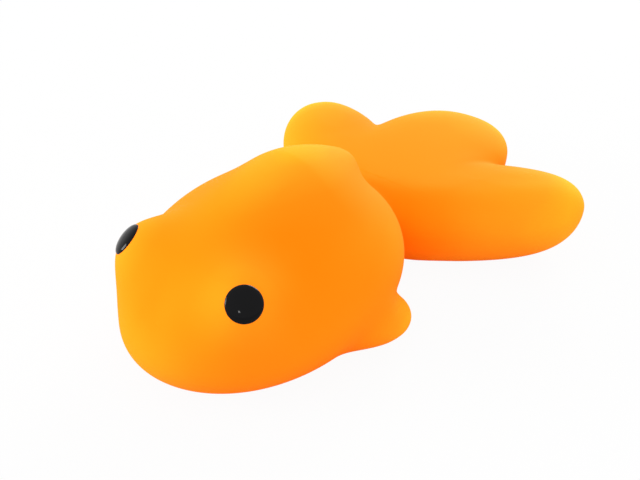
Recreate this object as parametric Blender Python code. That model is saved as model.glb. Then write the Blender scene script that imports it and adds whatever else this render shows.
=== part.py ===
"""Squishy goldfish: a small toy cast solid in orange gel rubber, with two black eyes.

The casting is divided at the roots of its fins and tail, where the soft rubber bends, and
each bending piece turns in a rounded seat. The nose points to -Y, the fish's left side is +X,
and the flat underside lies on Z = 0. Lengths are in metres and angles in degrees.
"""
import math

import bmesh
import bpy
import numpy as np

# Clearance between neighbouring pieces, and how deep the underside is cut flat
GAP = 0.0003
BELLY_CUT = 0.0006

# Trunk: an egg whose widest level rises towards the tail
TRUNK_WIDTH = 0.0297
TRUNK_FRONT = 0.0165
TRUNK_REAR = 0.0161
TRUNK_LEVEL = 0.0076
TRUNK_BACK = 0.0089
TRUNK_RISE = 0.09

# Head: a lower egg that reaches in front of the trunk and runs into it with a wide fillet
HEAD_WIDTH = 0.0211
HEAD_HALF_LENGTH = 0.0141
HEAD_FORWARD = 0.0052
HEAD_LEVEL = 0.0062
HEAD_TOP = 0.0078
HEAD_FILLET = 0.0051

# Eyes: domed dots on round bulges high on the sides of the head
BULGE_SPREAD = 0.0071
BULGE_FORWARD = 0.0119
BULGE_LEVEL = 0.0124
BULGE_RADIUS = 0.0022
BULGE_FILLET = 0.0060
BROW_HALF_WIDTH = 0.0026
EYE_DIAMETER = 0.0038
EYE_DOME = 0.0002
EYE_DEPTH = 0.0007
EYE_RIM_DROP = 0.0005
EYE_OUTWARD = 48.0
EYE_UPWARD = 37.0

# Dorsal fin: a ridge that flows widely into the back and the head and ends round behind
DORSAL_WIDTH = 0.0085
DORSAL_FRONT = 0.0149
DORSAL_REAR = 0.0107
DORSAL_DEPTH = 0.0048
DORSAL_BEHIND = 0.0036
DORSAL_PROUD = 0.0030
DORSAL_FRONT_RISE = 0.21
DORSAL_REAR_RISE = -0.05
DORSAL_FILLET = 0.0069
DORSAL_REAR_FILLET = 0.0018
DORSAL_RUNOUT = 0.0006

# Pectoral fins: stubs low on the flanks that point outwards and backwards
FIN_REACH = 0.0048
FIN_HALF_WIDTH = 0.0042
FIN_LEVEL = 0.0035
FIN_TOP = 0.0026
FIN_FLOOR_CLEARANCE = 0.0009
FIN_BEHIND = 0.0037
FIN_SEAT = 0.0006
FIN_ANGLE = 32.0
FIN_SWEEP = 20.0

# Tail root: a stump that turns in a seat in the rear of the trunk
ROOT_RADIUS = 0.0066
ROOT_LENGTH = 0.0050
ROOT_REACH = 0.0110
ROOT_SEAT = 0.0037
ROOT_LEVEL = 0.0061
ROOT_TOP = 0.0033
ROOT_FLOOR_CLEARANCE = 0.0009
WAG = 20.0

# Tail fan: three blunt lobes and the web between them, a plate that thins towards its round rim
FAN_BEHIND = 0.0012
FAN_LEVEL = 0.0055
FAN_TOP = 0.0047
FAN_RISE = 0.09
FAN_THINNING = 0.08
FAN_RIM = 0.0068
LOBE_POWER = 2.2
SIDE_LOBE_ANGLE = 52.4
SIDE_LOBE_MIDDLE = 0.0141
SIDE_LOBE_HALF_LENGTH = 0.0140
SIDE_LOBE_HALF_WIDTH = 0.0075
CENTRE_LOBE_MIDDLE = 0.0146
CENTRE_LOBE_HALF_LENGTH = 0.0130
CENTRE_LOBE_HALF_WIDTH = 0.0102
NOTCH_FILLET = 0.0020
WEB_MIDDLE = 0.0074
WEB_RADIUS = 0.0115
WEB_FILLET = 0.0034
LIFT_DOWN = 12.0

# How often the search for a surface halves its step, and how finely the round forms are
# divided, as (segments round, rings from pole to pole)
HALVINGS = 40
BODY_DIVISIONS = (44, 24)
FAN_DIVISIONS = (72, 16)
ROOT_DIVISIONS = (28, 14)
DORSAL_DIVISIONS = (48, 30)
FIN_DIVISIONS = (22, 12)
EYE_DIVISIONS = (16, 8)

ORANGE = (1.0, 0.27, 0.012)
FIN_ORANGE = (1.0, 0.33, 0.02)
TAIL_ORANGE = (1.0, 0.30, 0.015)
EYE_BLACK = (0.006, 0.006, 0.007)
RUBBER_ROUGHNESS = 0.55
EYE_ROUGHNESS = 0.15

# Places along the fish, measured from the middle of the trunk
HEAD_Y = -HEAD_FORWARD
NOSE_Y = min(-TRUNK_FRONT, HEAD_Y - HEAD_HALF_LENGTH)
ROOT_Y = TRUNK_REAR - ROOT_SEAT
HINGE_Y = ROOT_Y + ROOT_LENGTH
FAN_Y = HINGE_Y + FAN_BEHIND
TAIL_TIP_Y = FAN_Y + CENTRE_LOBE_MIDDLE + CENTRE_LOBE_HALF_LENGTH
TRUNK_Y = -(NOSE_Y + TAIL_TIP_Y) / 2


def pillow(points, centre, half_axes, turn=0.0, rise=(0.0, 0.0)):
    """Signed distance, near the surface, to an ellipsoid with unlike half axes on either side.

    half_axes is ((+x, -x), (+y, -y), (+z, -z)) along the ellipsoid's own axes, which are turned
    by turn radians about Z. Its middle level climbs along +y by the shares rise, which are
    (behind, in front of) the centre.
    """
    offset = points - np.array(centre)
    cosine, sine = math.cos(turn), math.sin(turn)
    own_x = offset[:, 0] * cosine + offset[:, 1] * sine
    own_y = offset[:, 1] * cosine - offset[:, 0] * sine
    climb = own_y * np.where(own_y > 0.0, *rise)
    own = np.stack([own_x, own_y, offset[:, 2] - climb], axis=1)
    plus, minus = np.array(half_axes).T
    axes = np.where(own > 0.0, plus, minus)
    share = np.linalg.norm(own / axes, axis=1)
    slope = np.linalg.norm(own / axes**2, axis=1)
    return share * (share - 1.0) / np.maximum(slope, 1e-9)


def soft_union(first, second, fillet):
    """Joins two fields, with a fillet where they meet."""
    overlap = np.maximum(fillet - np.abs(first - second), 0.0) / fillet
    return np.minimum(first, second) - overlap**2 * fillet / 4


def trunk_and_head(points):
    """Field of the egg-shaped trunk and the lower head in front of it."""
    trunk_half = TRUNK_WIDTH / 2
    trunk_depths = (TRUNK_BACK, TRUNK_LEVEL + BELLY_CUT)
    trunk = pillow(
        points,
        (0.0, TRUNK_Y, TRUNK_LEVEL),
        ((trunk_half, trunk_half), (TRUNK_REAR, TRUNK_FRONT), trunk_depths),
        rise=(TRUNK_RISE, TRUNK_RISE),
    )
    head_half = HEAD_WIDTH / 2
    head_depths = (HEAD_TOP, HEAD_LEVEL + BELLY_CUT)
    head = pillow(
        points,
        (0.0, TRUNK_Y + HEAD_Y, HEAD_LEVEL),
        ((head_half, head_half), (HEAD_HALF_LENGTH, HEAD_HALF_LENGTH), head_depths),
    )
    return soft_union(trunk, head, HEAD_FILLET)


def body_field(points):
    """Field of the whole body: trunk, head and the two eye bulges, with a soft brow between them."""
    aside = np.hypot(points[:, 0], BROW_HALF_WIDTH) - math.hypot(BULGE_SPREAD, BROW_HALF_WIDTH)
    ahead = points[:, 1] - TRUNK_Y + BULGE_FORWARD
    above = points[:, 2] - BULGE_LEVEL
    bulges = np.sqrt(aside**2 + ahead**2 + above**2) - BULGE_RADIUS
    return soft_union(trunk_and_head(points), bulges, BULGE_FILLET)


def reach(field, start, rays, level=0.0):
    """Distance from start along each ray at which the field rises to the level."""
    near = np.zeros(len(rays))
    far = np.full(len(rays), 2 * (TRUNK_FRONT + TRUNK_REAR))
    for _ in range(HALVINGS):
        middle = (near + far) / 2
        outside = field(np.array(start) + rays * middle[:, None]) > level
        far = np.where(outside, middle, far)
        near = np.where(outside, near, middle)
    return near


def body_point(start, ray):
    """Point where a ray from inside the body leaves it."""
    ray = np.array(ray) / np.linalg.norm(ray)
    return np.array(start) + ray * reach(body_field, start, ray[None, :])[0]


def new_collection(name):
    """Adds an empty collection to the scene."""
    collection = bpy.data.collections.new(name)
    bpy.context.scene.collection.children.link(collection)
    return collection


def soft_rubber(name, colour, roughness):
    """Matte gel rubber, or the glossier black of the eyes."""
    material = bpy.data.materials.new(name)
    material.use_nodes = True
    shader = material.node_tree.nodes["Principled BSDF"]
    shader.inputs["Base Color"].default_value = (*colour, 1.0)
    shader.inputs["Roughness"].default_value = roughness
    shader.inputs["Metallic"].default_value = 0.0
    return material


def sphere(divisions):
    """A unit sphere with its poles on Z, and the directions of its vertices."""
    segments, rings = divisions
    form = bmesh.new()
    bmesh.ops.create_uvsphere(form, u_segments=segments, v_segments=rings, radius=1.0)
    return form, np.array([vertex.co for vertex in form.verts])


def finish(name, form, places, collection, location=(0.0, 0.0, 0.0)):
    """Moves a sphere's vertices to their places and makes it an object at the location."""
    for vertex, place in zip(form.verts, places):
        vertex.co = place
    mesh = bpy.data.meshes.new(name)
    form.to_mesh(mesh)
    form.free()
    mesh.shade_smooth()
    solid = bpy.data.objects.new(name, mesh)
    solid.location = location
    collection.objects.link(solid)
    return solid


def round_form(name, field, divisions, collection, location, level=0.0):
    """A sphere pushed out from the location until each vertex meets the field's level."""
    form, rays = sphere(divisions)
    places = rays * reach(field, location, rays, level)[:, None]
    return finish(name, form, places, collection, location)


def slab(name, low, high, location, tilt=0.0):
    """A box between two corners, tilted in radians about X at the location, to cut with."""
    form = bmesh.new()
    bmesh.ops.create_cube(form, size=1.0)
    corners = np.array([vertex.co for vertex in form.verts])
    places = np.where(corners > 0.0, np.array(high), np.array(low))
    box = finish(name, form, places, cutters, location)
    box.rotation_euler.x = tilt
    return as_cutter(box)


def as_cutter(solid):
    """Marks an object as a cutter, which isn't part of the fish."""
    solid.hide_render = True
    solid.display_type = "WIRE"
    return solid


def cut(solid, cutter):
    """Takes the cutter's shape out of a solid."""
    boolean = solid.modifiers.new(f"cut by {cutter.name}", "BOOLEAN")
    boolean.operation = "DIFFERENCE"
    boolean.object = cutter


def swung(points, pivot, half_axes, turn, swing):
    """Field of all that a pillow covers while it swings about Z, by the angle to either side."""
    turns = [turn + math.radians(swing) * step for step in (-1, 0, 1)]
    return np.min([pillow(points, pivot, half_axes, each) for each in turns], axis=0)


def lobe(along, across, half_length, half_width):
    """Signed distance in the plane, near the rim, to a blunt ellipse: a power sum of its two shares."""
    long_share, wide_share = np.abs(along) / half_length, np.abs(across) / half_width
    share = np.maximum(long_share**LOBE_POWER + wide_share**LOBE_POWER, 1e-9) ** (1 / LOBE_POWER)
    long_slope = (long_share / share) ** (LOBE_POWER - 1) / half_length
    wide_slope = (wide_share / share) ** (LOBE_POWER - 1) / half_width
    return (share - 1.0) / np.hypot(long_slope, wide_slope)


def fan_field(points):
    """Field of the three-lobed web: edge ** 2 + (z / thickness) ** 2 = 1.

    edge rises from 0 to 1 across the rim. Everything is measured from the fan's root.
    """
    across, along = np.abs(points[:, 0]), points[:, 1] - TRUNK_Y - FAN_Y
    behind = np.maximum(along, 0.0)
    sine, cosine = math.sin(math.radians(SIDE_LOBE_ANGLE)), math.cos(math.radians(SIDE_LOBE_ANGLE))
    side = lobe(
        across * sine + along * cosine - SIDE_LOBE_MIDDLE,
        across * cosine - along * sine,
        SIDE_LOBE_HALF_LENGTH,
        SIDE_LOBE_HALF_WIDTH,
    )
    centre = lobe(
        along - CENTRE_LOBE_MIDDLE, across, CENTRE_LOBE_HALF_LENGTH, CENTRE_LOBE_HALF_WIDTH
    )
    web = np.hypot(across, along - WEB_MIDDLE) - WEB_RADIUS
    outline = soft_union(soft_union(side, centre, NOTCH_FILLET), web, WEB_FILLET)
    edge = np.maximum(1.0 + outline / FAN_RIM, 0.0)
    height = points[:, 2] - FAN_LEVEL - FAN_RISE * behind
    upper = FAN_TOP - FAN_THINNING * behind
    thickness = np.where(height > 0.0, upper, FAN_LEVEL + BELLY_CUT)
    return np.hypot(edge, height / thickness) - 1.0


def make_body():
    """The trunk and head, cut flat underneath."""
    middle = (0.0, TRUNK_Y, TRUNK_LEVEL)
    body = round_form("body", body_field, BODY_DIVISIONS, fish, middle)
    body.data.materials.append(soft_rubber("body rubber", ORANGE, RUBBER_ROUGHNESS))
    cut(body, ground)
    return body


def make_dorsal_fin():
    """The ridge on the back, with its wide fillet, cut to sit on the body with a clearance."""
    dorsal_y = TRUNK_Y + DORSAL_BEHIND
    back = body_point((0.0, dorsal_y, TRUNK_LEVEL), (0.0, 0.0, 1.0))
    middle = (0.0, dorsal_y, back[2] + DORSAL_PROUD - DORSAL_DEPTH)
    half = DORSAL_WIDTH / 2
    half_axes = ((half, half), (DORSAL_REAR, DORSAL_FRONT), (DORSAL_DEPTH, DORSAL_DEPTH))
    rise = (DORSAL_REAR_RISE, DORSAL_FRONT_RISE)

    def ridge_on_body(points):
        """Field of the ridge, whose fillet runs out a little below the body's skin."""
        rear = np.clip((points[:, 1] - dorsal_y) / DORSAL_REAR, 0.0, 1.0)
        tightening = rear**2 * (3.0 - 2.0 * rear)
        fillet = DORSAL_FILLET + (DORSAL_REAR_FILLET - DORSAL_FILLET) * tightening
        ridge = pillow(points, middle, half_axes, rise=rise)
        return soft_union(body_field(points) + DORSAL_RUNOUT, ridge, fillet)

    ridge = round_form("dorsal_fin", ridge_on_body, DORSAL_DIVISIONS, fish, middle)
    ridge.data.materials.append(soft_rubber("dorsal fin rubber", FIN_ORANGE, RUBBER_ROUGHNESS))
    body_middle = (0.0, TRUNK_Y, TRUNK_LEVEL)
    grown = round_form("grown body", body_field, BODY_DIVISIONS, cutters, body_middle, GAP)
    cut(ridge, as_cutter(grown))
    return ridge


def make_pectoral_fin(side, sign, body):
    """A stub fin whose round inner half turns about Z in a seat in the flank."""
    turn = math.radians(FIN_ANGLE) if sign > 0 else math.pi - math.radians(FIN_ANGLE)
    outward = np.array((math.cos(turn), math.sin(turn), 0.0))
    inside = (0.0, TRUNK_Y + FIN_BEHIND, FIN_LEVEL)
    pivot = body_point(inside, (sign, 0.0, 0.0)) - outward * FIN_SEAT
    half_axes = (
        (FIN_REACH, FIN_HALF_WIDTH),
        (FIN_HALF_WIDTH, FIN_HALF_WIDTH),
        (FIN_TOP, FIN_LEVEL - FIN_FLOOR_CLEARANCE),
    )

    fin = round_form(
        f"{side}_pectoral_fin",
        lambda points: pillow(points, pivot, half_axes, turn),
        FIN_DIVISIONS,
        fish,
        pivot,
    )
    fin.data.materials.append(soft_rubber(f"{side} fin rubber", FIN_ORANGE, RUBBER_ROUGHNESS))
    seat = round_form(
        f"{side} fin seat",
        lambda points: swung(points, pivot, half_axes, turn, FIN_SWEEP),
        FIN_DIVISIONS,
        cutters,
        pivot,
        GAP,
    )
    cut(body, as_cutter(seat))
    return fin


def make_tail_root(body):
    """The stump: round about its upright axis in front, drawn out to the fan behind."""
    pivot = (0.0, TRUNK_Y + ROOT_Y, ROOT_LEVEL)
    half_axes = (
        (ROOT_RADIUS, ROOT_RADIUS),
        (ROOT_REACH, ROOT_RADIUS),
        (ROOT_TOP, ROOT_LEVEL - ROOT_FLOOR_CLEARANCE),
    )

    root = round_form(
        "tail_root", lambda points: pillow(points, pivot, half_axes), ROOT_DIVISIONS, fish, pivot
    )
    root.data.materials.append(soft_rubber("tail root rubber", TAIL_ORANGE, RUBBER_ROUGHNESS))
    seat = round_form(
        "tail root seat",
        lambda points: swung(points, pivot, half_axes, 0.0, WAG),
        ROOT_DIVISIONS,
        cutters,
        pivot,
        GAP,
    )
    cut(body, as_cutter(seat))
    span = 2 * ROOT_REACH
    hinge_plane = (0.0, TRUNK_Y + HINGE_Y, 0.0)
    behind = slab("behind the stump", (-span, 0.0, -span), (span, span, span), hinge_plane)
    cut(root, behind)
    return root


def make_tail_fan(root):
    """The three-lobed web, pushed out from the middle of the web along flattened rays.

    It hinges on its top edge, and its front face leans back so that it can also bend down.
    """
    form, rays = sphere(FAN_DIVISIONS)
    rays = rays * (1.0, 1.0, FAN_TOP / WEB_RADIUS)
    rays = rays / np.linalg.norm(rays, axis=1, keepdims=True)
    middle = np.array((0.0, TRUNK_Y + FAN_Y + WEB_MIDDLE, FAN_LEVEL))
    hinge = np.array((0.0, TRUNK_Y + HINGE_Y, FAN_LEVEL + FAN_TOP))
    places = middle + rays * reach(fan_field, middle, rays)[:, None] - hinge
    fan = finish("tail_fan", form, places, fish, hinge)
    fan.data.materials.append(soft_rubber("tail fan rubber", TAIL_ORANGE, RUBBER_ROUGHNESS))
    span = 2 * (SIDE_LOBE_MIDDLE + SIDE_LOBE_HALF_LENGTH)
    lean = math.radians(LIFT_DOWN)
    front = slab("in front of the fan", (-span, -span, -span), (span, GAP, span), hinge, lean)
    cut(fan, front)
    cut(fan, ground)
    fan.parent = root
    fan.location = hinge - np.array(root.location)
    return fan


def make_eye(side, sign, body):
    """A lens-shaped dot, sunk in a pocket on the eye bulge so that its rim meets the skin."""
    outward, upward = math.radians(EYE_OUTWARD), math.radians(EYE_UPWARD)
    axis = np.array(
        (
            sign * math.cos(upward) * math.sin(outward),
            -math.cos(upward) * math.cos(outward),
            math.sin(upward),
        )
    )
    bulge_middle = (sign * BULGE_SPREAD, TRUNK_Y - BULGE_FORWARD, BULGE_LEVEL)
    skin = body_point(bulge_middle, axis)
    radius = EYE_DIAMETER / 2
    middle = skin - axis * EYE_RIM_DROP
    across = np.cross((0.0, 0.0, 1.0), axis)
    across = across / np.linalg.norm(across)
    along = np.cross(axis, across)

    def lens(name, collection, grow):
        form, rays = sphere(EYE_DIVISIONS)
        depth = np.where(rays[:, 2] > 0.0, EYE_RIM_DROP + EYE_DOME, EYE_DEPTH) + grow
        places = (
            rays[:, :1] * across * (radius + grow)
            + rays[:, 1:2] * along * (radius + grow)
            + (rays[:, 2] * depth)[:, None] * axis
        )
        return finish(name, form, places, collection, middle)

    eye = lens(f"{side}_eye", fish, 0.0)
    eye.data.materials.append(soft_rubber(f"{side} eye black", EYE_BLACK, EYE_ROUGHNESS))
    cut(body, as_cutter(lens(f"{side} eye pocket", cutters, GAP)))
    return eye


for old in list(bpy.data.objects):
    bpy.data.objects.remove(old)

fish = new_collection("squishy_fish")
cutters = new_collection("cutters")

wide = 4 * (TRUNK_FRONT + TRUNK_REAR)
ground = slab("ground", (-wide, -wide, -wide), (wide, wide, 0.0), (0.0, 0.0, 0.0))

body = make_body()
make_dorsal_fin()
for side, sign in (("left", 1), ("right", -1)):
    make_pectoral_fin(side, sign, body)
    make_eye(side, sign, body)
tail_root = make_tail_root(body)
make_tail_fan(tail_root)
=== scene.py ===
"""A squishy goldfish: soft orange gel rubber with two glossy black eyes, lying on its flat belly.

The nose points to -Y, the fish's left side is +X and the underside is Z = 0. Shapes are worked
out in millimetres and put into the meshes in metres.
"""
import math

import bpy
import numpy as np
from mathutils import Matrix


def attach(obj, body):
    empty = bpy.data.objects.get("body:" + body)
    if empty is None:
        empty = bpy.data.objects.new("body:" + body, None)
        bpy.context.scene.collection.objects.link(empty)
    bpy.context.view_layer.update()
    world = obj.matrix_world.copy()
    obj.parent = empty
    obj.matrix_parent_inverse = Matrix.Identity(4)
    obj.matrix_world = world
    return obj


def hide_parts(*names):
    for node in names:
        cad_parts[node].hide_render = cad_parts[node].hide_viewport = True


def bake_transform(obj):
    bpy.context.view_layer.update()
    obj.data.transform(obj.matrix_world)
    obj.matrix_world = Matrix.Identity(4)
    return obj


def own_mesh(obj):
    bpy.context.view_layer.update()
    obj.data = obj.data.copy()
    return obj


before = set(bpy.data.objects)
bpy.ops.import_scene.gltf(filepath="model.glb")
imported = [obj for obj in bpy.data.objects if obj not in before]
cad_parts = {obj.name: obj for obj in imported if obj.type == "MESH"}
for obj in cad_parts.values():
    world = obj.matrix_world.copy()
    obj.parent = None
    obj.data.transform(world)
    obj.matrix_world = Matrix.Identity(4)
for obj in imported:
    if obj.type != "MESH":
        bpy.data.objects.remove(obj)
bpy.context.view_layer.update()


# Body: the trunk, head, eye bulges and dorsal ridge of one solid casting in soft gel rubber.
# It comes out of an open mould, so its underside is flat and all its edges are round. It is
# squashed as a whole when the ridge is pressed down.

def egg(points, centre, plus, minus, turn=0.0, climb=(0.0, 0.0)):
    """Distance, near its skin, to an ellipsoid with unlike half axes on its two sides.

    Formula: with k0 = |q / a| and k1 = |q / a^2|, the distance is k0 (k0 - 1) / k1. q is turned
    about Z, and its level climbs along its own y by the shares (behind, in front).
    """
    q = points - np.array(centre)
    x = q[..., 0] * math.cos(turn) + q[..., 1] * math.sin(turn)
    y = q[..., 1] * math.cos(turn) - q[..., 0] * math.sin(turn)
    z = q[..., 2] - y * np.where(y > 0.0, climb[0], climb[1])
    q = np.stack([x, y, z], axis=-1)
    half = np.where(q > 0.0, plus, minus)
    k0 = np.linalg.norm(q / half, axis=-1)
    k1 = np.linalg.norm(q / half**2, axis=-1)
    return k0 * (k0 - 1.0) / np.maximum(k1, 1e-6)


def melt(one, other, fillet):
    """Union of two distances with a round fillet.

    Formula: min(a, b) - h^2 fillet / 4, where h = 1 - |a - b| / fillet and is 0 at least.
    """
    share = np.maximum(1.0 - np.abs(one - other) / fillet, 0.0)
    return np.minimum(one, other) - share**2 * fillet / 4.0


def folded(points):
    """The points with their right half laid over the left, because the fish is symmetric."""
    return np.concatenate([np.abs(points[..., :1]), points[..., 1:]], axis=-1)


def fillet_along(y, start, length, wide, tight):
    """A fillet that narrows backwards from wide to tight: smooth step s^2 (3 - 2 s) over the length."""
    share = np.clip((y - start) / length, 0.0, 1.0)
    return wide - (wide - tight) * share**2 * (3.0 - 2.0 * share)


BULGE = np.array((6.93, -25.33, 12.39))
BULGE_RADIUS = 2.19
BULGE_FILLET = 5.97
BROW = 2.6
HEAD_FILLET = 5.1
RIDGE_MIDDLE = (0.0, -9.83, 14.65)
RIDGE_REAR = 11.49


def torso(points):
    """Distance to the body alone: trunk, head, dorsal ridge and eye bulges, melted together.

    The ridge flows widely into the back and the head, and tightly at its rear end. A bulge is a ball
    whose x is hypot(x, brow), so that the two run into one brow with no crease on the middle plane.
    """
    points = folded(points)
    trunk = egg(
        points, centre=(0.0, -13.45, 7.62), plus=(14.82, 16.12, 8.92), minus=(14.82, 16.46, 8.64),
        climb=(0.093, 0.093)
    )
    head = egg(points, centre=(0.0, -18.69, 6.15), plus=(10.52, 14.13, 7.78), minus=(10.52, 14.13, 6.83))
    ridge = egg(
        points, centre=RIDGE_MIDDLE, plus=(4.25, RIDGE_REAR, 4.78), minus=(4.25, 14.86, 4.78),
        climb=(-0.05, 0.214)
    )
    ridge_fillet = fillet_along(points[..., 1], RIDGE_MIDDLE[1], RIDGE_REAR, wide=6.95, tight=1.77)
    aside = np.hypot(points[..., 0], BROW) - np.hypot(BULGE[0], BROW)
    level = points[..., 1:] - BULGE[1:]
    bulge = np.sqrt(aside**2 + level[..., 0] ** 2 + level[..., 1] ** 2) - BULGE_RADIUS
    back = melt(melt(trunk, head, HEAD_FILLET), ridge, ridge_fillet)
    return melt(back, bulge, BULGE_FILLET)


FIN_MIDDLE = np.array((11.62, -10.04, 3.54))
FIN_TURN = math.radians(31.911)


def pectoral(points):
    """Distance to a stub fin, low on the flank and pointing outwards and backwards."""
    return egg(
        folded(points), centre=FIN_MIDDLE, plus=(4.76, 4.21, 2.58), minus=(4.21, 4.3, 2.58), turn=FIN_TURN
    )


FAN_ROOT = np.array((0.0, 5.13, 5.53))


def lobe(x, y, length, width):
    """Distance in the plane to a blunt ellipse with these half axes.

    Formula: (k - 1) / |grad k|, where k = (|x / length|^n + |y / width|^n)^(1 / n).
    """
    blunt = 2.196
    u, v = np.abs(x) / length, np.abs(y) / width
    k = np.maximum(u**blunt + v**blunt, 1e-9) ** (1.0 / blunt)
    return (k - 1.0) / np.hypot((u / k) ** (blunt - 1.0) / length, (v / k) ** (blunt - 1.0) / width)


def fan(points):
    """Distance to the web of the tail: a plate that thins backwards, with a rim like a quarter ellipse.

    Formula: edge^2 + (z / thickness)^2 = 1, where edge rises gently from 0 to 1 across the rim's
    width. The outline is that of two side lobes, a centre lobe and a round web, melted together. The
    rim is narrower between the lobes, so that their tops run on to the notch. The web climbs and
    its top thins backwards, by shares of y.
    """
    q = folded(points) - FAN_ROOT
    x, y = q[..., 0], q[..., 1]
    behind = np.maximum(y, 0.0)
    side_turn = math.radians(52.397)
    out, back = math.sin(side_turn), math.cos(side_turn)
    side_middle, centre_middle = 14.1, 14.56
    web_middle, web_radius = 7.41, 11.49
    side = lobe(x * out + y * back - side_middle, x * back - y * out, length=13.99, width=7.45)
    centre = lobe(y - centre_middle, x, length=12.96, width=10.2)
    web = np.hypot(x, y - web_middle) - web_radius
    outline = melt(melt(side, centre, fillet=1.0), web, fillet=3.4)
    rim_width, narrower, notch_width = 6.1, 1.4, 5.0
    rim = rim_width - narrower * np.exp(-(((side - centre) / notch_width) ** 2))
    ease = 0.4
    across = 1.0 + outline / rim
    edge = (across + np.hypot(across, ease)) / (1.0 + math.hypot(1.0, ease))
    climb, top, thinning, under = 0.094, 4.69, 0.08, 6.22
    z = q[..., 2] - climb * behind
    thick = np.where(z > 0.0, top - thinning * behind, under)
    k0 = np.hypot(edge, z / thick)
    slope = np.hypot(edge / rim, z / thick**2) / np.maximum(k0, 1e-6)
    least_slope = 0.02
    return (k0 - 1.0) / np.maximum(slope, least_slope)


def uncut(points):
    """Distance to the whole casting before its underside is cut flat.

    Each fin flows widely into the flank in front and meets it in a tight notch behind.
    """
    fin_front, fin_length = -11.76, 5.09
    fin_fillet = fillet_along(points[..., 1], fin_front, fin_length, wide=3.67, tight=1.25)
    return melt(melt(torso(points), pectoral(points), fin_fillet), fan(points), fillet=2.51)


def casting(points):
    """Distance to the whole casting, cut flat on Z = 0 with a round edge.

    Formula: the cut keeps max(whole, -z), which is -min(-whole, z), so it is a union turned inside out.
    """
    belly_edge = 1.7
    return -melt(-uncut(points), points[..., 2], belly_edge)


def cast_out(field, starts, rays):
    """First point on each ray at which the field rises to 0.

    Formula: steps of half the depth go outwards while the ray is inside, then the last step is
    halved until it meets the skin.
    """
    rays = rays / np.linalg.norm(rays, axis=-1, keepdims=True)
    near = np.zeros(rays.shape[:-1])
    step = np.zeros(rays.shape[:-1])
    inside = np.ones(rays.shape[:-1], bool)
    least_step, most_step = 0.004, 1.0
    steps, halvings = 60, 14
    for _ in range(steps):
        depth = field(starts + rays * (near + step)[..., None])
        inside &= depth < 0.0
        near = np.where(inside, near + step, near)
        step = np.where(inside, np.clip(-0.5 * depth, least_step, most_step), step)
    for _ in range(halvings):
        step = step / 2.0
        near = np.where(field(starts + rays * (near + step)[..., None]) < 0.0, near + step, near)
    return starts + rays * near[..., None]


def globe(rings, segments):
    """Unit directions on a grid: rings from one pole of Y to the other, segments round Y."""
    tilt = np.linspace(0.0, math.pi, rings)[:, None]
    round_y = np.linspace(0.0, 2.0 * math.pi, segments, endpoint=False)[None, :]
    along = -np.cos(tilt) + 0.0 * round_y
    return np.stack([np.sin(tilt) * np.sin(round_y), along, np.sin(tilt) * np.cos(round_y)], axis=-1)


def shade_by_openness(points):
    """How much air is round each point: about 0 in a hollow and 0.45 at a lobe's tip.

    Formula: the distance to the casting 9 mm away, as a share of 9 mm, averaged over 24 directions
    that wind evenly round a sphere. The ridge counts as more open by its height over the back, which paints
    a paler, lit top on it.
    """
    reach, count = 9.0, 24
    number = np.arange(count) + 0.5
    level = 1.0 - 2.0 * number / count
    turn = number * math.pi * (1.0 + math.sqrt(5.0))
    flat = np.sqrt(1.0 - level**2)
    ways = np.stack([flat * np.cos(turn), flat * np.sin(turn), level], axis=-1)
    air = np.mean([np.clip(uncut(points + reach * way) / reach, -1.0, 1.0) for way in ways], axis=0)
    # Painted highlight: the ridge's top counts as more open by its height, so it is painted paler, as if
    # lit from above.
    ridge_foot, ridge_height, ridge_highlight_share = 15.3, 3.7, 0.1
    return air + ridge_highlight_share * np.clip((points[..., 2] - ridge_foot) / ridge_height, 0.0, 1.0)


MM = 0.001


def closed_skin(name, grid):
    """A closed mesh from rows of points in millimetres, whose first and last rows are poles."""
    rings, segments = grid.shape[:2]
    first, last = grid[0, 0], grid[-1, 0]
    places = np.concatenate([[first], grid[1:-1].reshape(-1, 3), [last]]) * MM
    index = 1 + np.arange((rings - 2) * segments).reshape(rings - 2, segments)
    beside = np.roll(index, -1, axis=1)
    quads = np.stack([index[:-1], index[1:], beside[1:], beside[:-1]], axis=-1).reshape(-1, 4)
    foot = np.stack([np.zeros(segments, int), index[0], beside[0]], axis=-1)
    crown = np.stack([np.full(segments, len(places) - 1), beside[-1], index[-1]], axis=-1)
    mesh = bpy.data.meshes.new(name)
    mesh.from_pydata(places, [], foot.tolist() + quads.tolist() + crown.tolist())
    mesh.shade_smooth()
    # Painted shade and light: the rubber's colour is painted from this, darker in hollows and between
    # parts, paler on open tips and edges.
    shade_attribute = mesh.attributes.new("shade_by_openness", "FLOAT", "POINT")
    shade_attribute.data.foreach_set("value", shade_by_openness(places / MM).astype(np.float32))
    piece = bpy.data.objects.new(name, mesh)
    bpy.context.scene.collection.objects.link(piece)
    return piece


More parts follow.
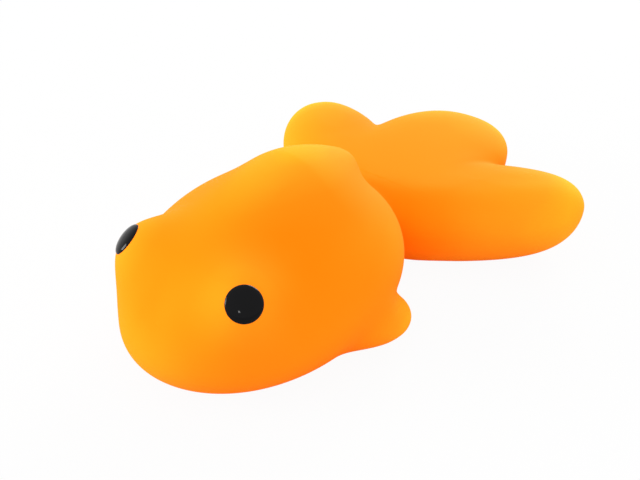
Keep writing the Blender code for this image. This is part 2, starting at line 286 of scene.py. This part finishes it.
def gel_rubber(name):
    """Powdery orange gel rubber, with light and shade painted into its colour.

    The colour runs from painted deep orange shade in hollows and between parts to paler yellow-orange
    painted light on open tips and edges, after how much air is round each point. The weak red-orange
    emission is a painted glow of light in its shaded edges.
    """
    material = bpy.data.materials.new(name)
    material.use_nodes = True
    nodes, links = material.node_tree.nodes, material.node_tree.links
    shader = nodes["Principled BSDF"]
    shader.inputs["Roughness"].default_value = 0.75
    shader.inputs["Specular IOR Level"].default_value = 0.015
    shader.inputs["Sheen Weight"].default_value = 0.015
    # Painted glow: a weak red-orange emission fills the shaded edges with light, as if the gel passed it
    # on.
    shader.inputs["Emission Color"].default_value = (1.0, 0.05, 0.0, 1.0)
    shader.inputs["Emission Strength"].default_value = 0.2
    place = nodes.new("ShaderNodeTexCoord")
    shade_attribute = nodes.new("ShaderNodeAttribute")
    shade_attribute.attribute_name = "shade_by_openness"
    cloudy = nodes.new("ShaderNodeTexNoise")
    cloudy.inputs["Scale"].default_value = 160.0
    cloudy.inputs["Detail"].default_value = 3.0
    links.new(place.outputs["Object"], cloudy.inputs["Vector"])
    tone_and_shade = nodes.new("ShaderNodeMath")
    tone_and_shade.operation = "MULTIPLY_ADD"
    tone_and_shade.inputs[1].default_value = 0.04
    links.new(cloudy.outputs["Fac"], tone_and_shade.inputs[0])
    links.new(shade_attribute.outputs["Fac"], tone_and_shade.inputs[2])
    # Painted shade and light: deep orange shade in hollows and between parts, paler yellow-orange light on
    # open tips, edges and the ridge's top.
    shade_ramp = nodes.new("ShaderNodeValToRGB")
    stops = shade_ramp.color_ramp.elements
    stops[0].position, stops[0].color = 0.1, (1.0, 0.217, 0.002, 1.0)
    stops[1].position, stops[1].color = 0.45, (1.0, 0.39, 0.013, 1.0)
    stops.new(0.22).color = (1.0, 0.236, 0.004, 1.0)
    stops.new(0.37).color = (1.0, 0.3, 0.01, 1.0)
    links.new(tone_and_shade.outputs[0], shade_ramp.inputs["Fac"])
    links.new(shade_ramp.outputs["Color"], shader.inputs["Base Color"])
    grain = nodes.new("ShaderNodeTexNoise")
    grain.inputs["Scale"].default_value = 2600.0
    grain.inputs["Detail"].default_value = 2.0
    links.new(place.outputs["Object"], grain.inputs["Vector"])
    bump = nodes.new("ShaderNodeBump")
    bump.inputs["Strength"].default_value = 0.06
    bump.inputs["Distance"].default_value = 0.0001
    links.new(grain.outputs["Fac"], bump.inputs["Height"])
    links.new(bump.outputs["Normal"], shader.inputs["Normal"])
    return material


SEAM = 1.2


def body_skin(points):
    """The casting without what stands more than the seam off the torso.

    Formula: past the seam the field rises by the square of the distance, so that the skin closes
    inside the fins and the tail.
    """
    return casting(points) + np.maximum(torso(points) - SEAM, 0.0) ** 2


rays = globe(220, 320)
body_middle = np.array((0.0, -15.0, 7.5))
half_spine = 9.0
spine = body_middle + half_spine * rays * (0.0, 1.0, 0.0)
body = closed_skin("body_skin", cast_out(body_skin, spine, rays))
rubber = gel_rubber("orange gel rubber")
body.data.materials.append(rubber)
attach(body, "torso")
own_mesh(body)
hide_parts("body", "dorsal_fin")


# Pectoral fins: stubs of the same rubber casting, low on the flanks. Each one bends at its root,
# which closes inside the body.

def fin_skin(points):
    """The casting outside the torso's seam: it closes inside the body."""
    return casting(points) + np.maximum(SEAM - torso(points), 0.0) ** 2


FIN_STRETCH = (4.0, 4.0, 3.0)
BEND_START, FIN_INSIDE, BEND_END = 1.6, 2.6, 5.2

for side, sign in (("left", 1.0), ("right", -1.0)):
    root = FIN_MIDDLE * (sign, 1.0, 1.0)
    out = np.array((sign * math.cos(FIN_TURN), math.sin(FIN_TURN), 0.0))
    rays = globe(80, 120) * FIN_STRETCH
    fin = closed_skin(f"{side}_fin", cast_out(fin_skin, root + FIN_INSIDE * out, rays))
    fin.data.materials.append(rubber)
    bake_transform(fin)
    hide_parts(f"{side}_pectoral_fin")


# Tail root: the neck of the tail, in the same rubber casting, which bends from side to side. Its
# front closes inside the body and its back inside the fan.

ROOT_SEAM = 6.5


def root_skin(points):
    """The casting between the torso's seam and the fan's seam."""
    front = np.maximum(SEAM - torso(points), 0.0) ** 2
    return casting(points) + front + np.maximum(points[..., 1] - ROOT_SEAM, 0.0) ** 2


ROOT_STRETCH = (11.0, 4.0, 5.0)
root_middle = np.array((0.0, 5.2, 5.6))
rays = globe(120, 200) * ROOT_STRETCH
tail_root = closed_skin("tail_root_skin", cast_out(root_skin, root_middle, rays))
tail_root.data.materials.append(rubber)
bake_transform(tail_root)
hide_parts("tail_root")


# Tail fan: one web of the same rubber casting, with three rounded lobes and notches between them,
# thick at its root and thinner towards its rim. It lifts from the table at its root.

def fan_skin(points):
    """The casting behind the fan's seam."""
    return casting(points) + np.maximum(ROOT_SEAM - points[..., 1], 0.0) ** 2


def flat_globe(rings, segments, spread, height):
    """Directions for a flat piece: rings from its underside to its top, segments round Z.

    Formula: with the rise r and the angle a, (spread sqrt(cos r) (sin a, cos a), height sin r), which
    puts most rings on the rim.
    """
    rise = np.linspace(-math.pi / 2, math.pi / 2, rings)[:, None]
    angle = np.linspace(0.0, 2.0 * math.pi, segments, endpoint=False)[None, :]
    flat = spread * np.sqrt(np.cos(rise))
    upward = height * np.sin(rise) + 0.0 * angle
    return np.stack([flat * np.sin(angle), flat * np.cos(angle), upward], axis=-1)


fan_middle = FAN_ROOT + (0.0, 8.0, -0.5)
rays = flat_globe(180, 420, spread=20.0, height=5.0)
tail_fan = closed_skin("tail_fan_skin", cast_out(fan_skin, fan_middle, rays))
tail_fan.data.materials.append(rubber)
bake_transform(tail_fan)
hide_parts("tail_fan")


# Eyes: low domes of glossy black resin, set into the bulges of the head and square to the rubber
# there. The right one sits further forward and higher. They sink with the squashed body.

def eye_black(name):
    """Glossy black resin with a faint unevenness in its gloss."""
    material = bpy.data.materials.new(name)
    material.use_nodes = True
    nodes, links = material.node_tree.nodes, material.node_tree.links
    shader = nodes["Principled BSDF"]
    shader.inputs["Base Color"].default_value = (0.003, 0.003, 0.0035, 1.0)
    shader.inputs["Specular IOR Level"].default_value = 0.1
    place = nodes.new("ShaderNodeTexCoord")
    haze = nodes.new("ShaderNodeTexNoise")
    haze.inputs["Scale"].default_value = 900.0
    links.new(place.outputs["Object"], haze.inputs["Vector"])
    gloss = nodes.new("ShaderNodeMapRange")
    gloss.inputs["To Min"].default_value = 0.04
    gloss.inputs["To Max"].default_value = 0.09
    links.new(haze.outputs["Fac"], gloss.inputs["Value"])
    links.new(gloss.outputs["Result"], shader.inputs["Roughness"])
    return material


def eye_dome(skin, axis):
    """Rows of points of a dome on the skin: an ellipsoid sunk along the axis, lower outside than inside."""
    radius, sink, height, seat = 1.92, 0.52, 0.67, 0.9
    across = np.array((-axis[1], axis[0], 0.0)) / math.hypot(axis[0], axis[1])
    up = np.cross(axis, across)
    ways = globe(40, 72)
    deep = ways[..., 1:2] * np.where(ways[..., 1:2] > 0.0, height, seat)
    return skin - sink * axis + radius * (ways[..., :1] * across + ways[..., 2:] * up) + deep * axis


EYE_ANGLES = {"left": (50.0, 32.5), "right": (45.0, 42.0)}

black = eye_black("glossy black")
for side, sign in (("left", 1.0), ("right", -1.0)):
    outward, upward = np.radians(EYE_ANGLES[side])
    ahead = -math.cos(outward) * math.cos(upward)
    ray = np.array((sign * math.sin(outward) * math.cos(upward), ahead, math.sin(upward)))
    skin = cast_out(casting, BULGE * (sign, 1.0, 1.0), ray)
    probe_length = 0.05
    probes = probe_length * np.eye(3)
    slope = casting(skin + probes) - casting(skin - probes)
    eye = closed_skin(f"{side}_eye_dome", eye_dome(skin, slope / np.linalg.norm(slope)))
    eye.data.materials.append(black)
    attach(eye, f"{side}_eye")
    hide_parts(f"{side}_eye")


# Stage: a plain white table under soft studio light, and the camera where the photograph was taken.
# The table and the sky are white to the camera, and the table keeps a trace of the fish's shadow.

scene = bpy.context.scene
scene.view_settings.view_transform = "Standard"

floor_mesh = bpy.data.meshes.new("floor")
floor_corners = 3.0 * np.array([(-1, -1, 0), (1, -1, 0), (1, 1, 0), (-1, 1, 0)])
floor_mesh.from_pydata(floor_corners, [], [(0, 1, 2, 3)])
floor = bpy.data.objects.new("floor", floor_mesh)
scene.collection.objects.link(floor)
white = bpy.data.materials.new("white floor")
white.use_nodes = True
nodes, links = white.node_tree.nodes, white.node_tree.links
paint = nodes["Principled BSDF"]
paint.inputs["Base Color"].default_value = (0.6, 0.6, 0.6, 1.0)
paint.inputs["Roughness"].default_value = 0.9
paint.inputs["Specular IOR Level"].default_value = 0.0
glow = nodes.new("ShaderNodeEmission")
path = nodes.new("ShaderNodeLightPath")
seen = nodes.new("ShaderNodeMath")
seen.operation = "MULTIPLY"
white_share = 0.95
seen.inputs[1].default_value = white_share
mix = nodes.new("ShaderNodeMixShader")
links.new(path.outputs["Is Camera Ray"], seen.inputs[0])
links.new(seen.outputs[0], mix.inputs["Fac"])
links.new(paint.outputs[0], mix.inputs[1])
links.new(glow.outputs[0], mix.inputs[2])
links.new(mix.outputs[0], nodes["Material Output"].inputs["Surface"])
floor_mesh.materials.append(white)

world = bpy.data.worlds.new("studio")
scene.world = world
world.use_nodes = True
nodes, links = world.node_tree.nodes, world.node_tree.links
sky = nodes["Background"]
path = nodes.new("ShaderNodeLightPath")
level = nodes.new("ShaderNodeMapRange")
level.inputs["To Min"].default_value = 1.1
level.inputs["To Max"].default_value = 1.0
links.new(path.outputs["Is Camera Ray"], level.inputs["Value"])
links.new(level.outputs["Result"], sky.inputs["Strength"])
sky.inputs["Color"].default_value = (1.0, 1.0, 1.0, 1.0)


def soft_box(name, place, aim, size, power):
    """A square area light that faces a point."""
    lamp = bpy.data.lights.new(name, "AREA")
    lamp.size = size
    lamp.energy = power
    box = bpy.data.objects.new(name, lamp)
    box.location = place
    direction = np.array(aim) - np.array(place)
    yaw = math.atan2(direction[0], -direction[1])
    tilt = math.atan2(math.hypot(direction[0], direction[1]), -direction[2])
    box.rotation_euler = (tilt, 0.0, math.pi + yaw)
    scene.collection.objects.link(box)


middle, near_eye = (0.0, 0.0, 0.0), (0.009, -0.027, 0.014)
soft_box("left light", place=(-0.34, -0.34, 0.12), aim=middle, size=0.2, power=1.9)
soft_box("back light", place=(-0.12, 0.45, 0.15), aim=middle, size=0.25, power=2.4)
soft_box("spark in the eye", place=(0.21, -0.29, 0.137), aim=near_eye, size=0.025, power=0.05)

aim = np.array((0.96, -5.66, 6.90)) * MM
azimuth, elevation, distance = math.radians(38.74), math.radians(33.83), 99.6 * MM
ground = math.cos(elevation)
back = np.array((math.sin(azimuth) * ground, -math.cos(azimuth) * ground, math.sin(elevation)))
camera_data = bpy.data.cameras.new("camera")
camera_data.sensor_width = 36.0
camera_data.lens = 46.2
camera_data.clip_start, camera_data.clip_end = 0.005, 20.0
camera = bpy.data.objects.new("camera", camera_data)
camera.location = aim + back * distance
camera.rotation_euler = (math.pi / 2 - elevation, 0.0, azimuth)
scene.collection.objects.link(camera)
scene.camera = camera
